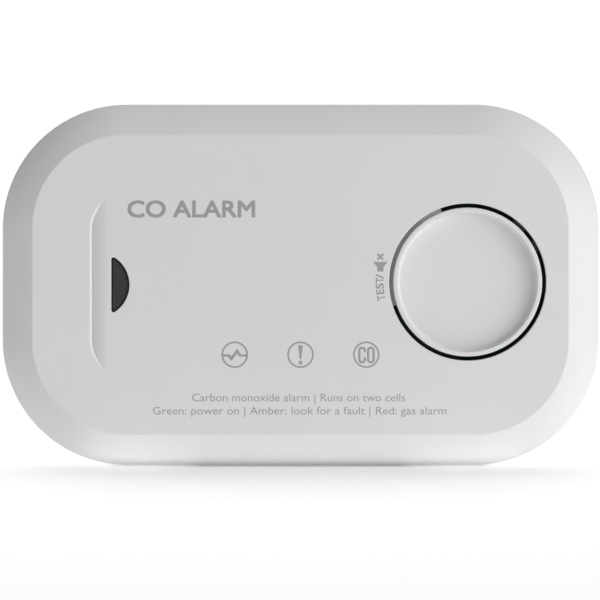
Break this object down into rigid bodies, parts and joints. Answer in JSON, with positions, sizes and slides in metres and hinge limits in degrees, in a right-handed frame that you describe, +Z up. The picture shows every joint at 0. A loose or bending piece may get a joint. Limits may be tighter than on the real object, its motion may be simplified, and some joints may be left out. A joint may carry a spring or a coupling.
{
  "type": "carbon monoxide detector",
  "caption": "Carbon monoxide alarm in a rounded two-shell casing with a bevelled face, tilting round test button, half-moon gas inlet, indicator lamps, sounder and hinged battery door.",
  "frame": {"origin": "middle of the casing's footprint, on the surface that its long lower edge stands on", "axes": "+X to the right as the front is seen, -Y out of the front face, +Z up"},
  "size_m": [0.12, 0.037, 0.0726],
  "materials": {
    "shell_white": "fine satin moulded",
    "button_white": "smooth satin moulded",
    "label_paper": "blank film label",
    "black_plastic": "matte moulded",
    "grey_plastic": "matte moulded",
    "dark_filter": "porous sintered",
    "black_rubber": "closed-cell foam",
    "sensor_can": "drawn metal",
    "brass": "rolled",
    "ceramic": "fired, silvered",
    "clear_plastic": "clear moulded",
    "lamp_green": "diffused resin",
    "lamp_amber": "diffused resin",
    "lamp_red": "diffused resin",
    "board_green": "solder mask over glass fibre",
    "capacitor_can": "drawn metal",
    "ferrite": "matte",
    "cell_sleeve": "plain printed sleeve",
    "contact_nickel": "nickel plated spring steel",
    "screw_steel": "zinc plated"
  },
  "bodies": {
    "housing": {"front_cover": "shell_white", "rear_cover": "shell_white", "rating_label": "label_paper", "test_switch_body": "black_plastic", "gas_inlet_filter": "dark_filter", "sensor_seal": "black_rubber", "co_sensor_cap": "grey_plastic", "co_sensor_body": "sensor_can", "sounder_chamber": "black_plastic", "sounder_ring": "black_plastic", "piezo_plate": "brass", "piezo_ceramic": "ceramic", "light_shroud": "black_plastic", "light_pipe_power": "clear_plastic", "light_pipe_fault": "clear_plastic", "light_pipe_alarm": "clear_plastic", "lamp_power": "lamp_green", "lamp_fault": "lamp_amber", "lamp_alarm": "lamp_red", "circuit_board": "board_green", "microcontroller": "black_plastic", "capacitor_1": "capacitor_can", "capacitor_2": "capacitor_can", "boost_inductor": "ferrite", "battery_cell_1": "cell_sleeve", "battery_cell_2": "cell_sleeve", "contact_negative": "contact_nickel", "contact_positive": "contact_nickel", "contact_bridge": "contact_nickel", "cover_screw_1": "screw_steel", "cover_screw_2": "screw_steel", "cover_screw_3": "screw_steel", "cover_screw_4": "screw_steel", "board_screw_1": "screw_steel", "board_screw_2": "screw_steel", "board_screw_3": "screw_steel", "board_screw_4": "screw_steel"},
    "battery_door": {"battery_door": "shell_white"},
    "test_button": {"test_button": "button_white"},
    "test_switch_plunger": {"test_switch_plunger": "grey_plastic"}
  },
  "joints": [
    {"name": "battery_door_hinge", "type": "hinge", "parent": "housing", "child": "battery_door", "pos_m": [-0.032, 0.0172, 0.0363], "axis": [0, 0, 1], "range_deg": [0, 95]},
    {"name": "test_button_tilt", "type": "hinge", "parent": "housing", "child": "test_button", "pos_m": [0.01646, -0.0151, 0.04518], "axis": [0.4384, 0, 0.8988], "range_deg": [0, 1.2], "stiffness_Nm_per_rad": 2.3},
    {"name": "test_switch_travel", "type": "slide", "parent": "housing", "child": "test_switch_plunger", "axis": [0, 1, 0], "range_m": [0, 0.00069]}
  ],
  "couplings": [
    {"joint": "test_switch_travel", "follows": "test_button_tilt", "m_per_rad": 0.0324}
  ]
}
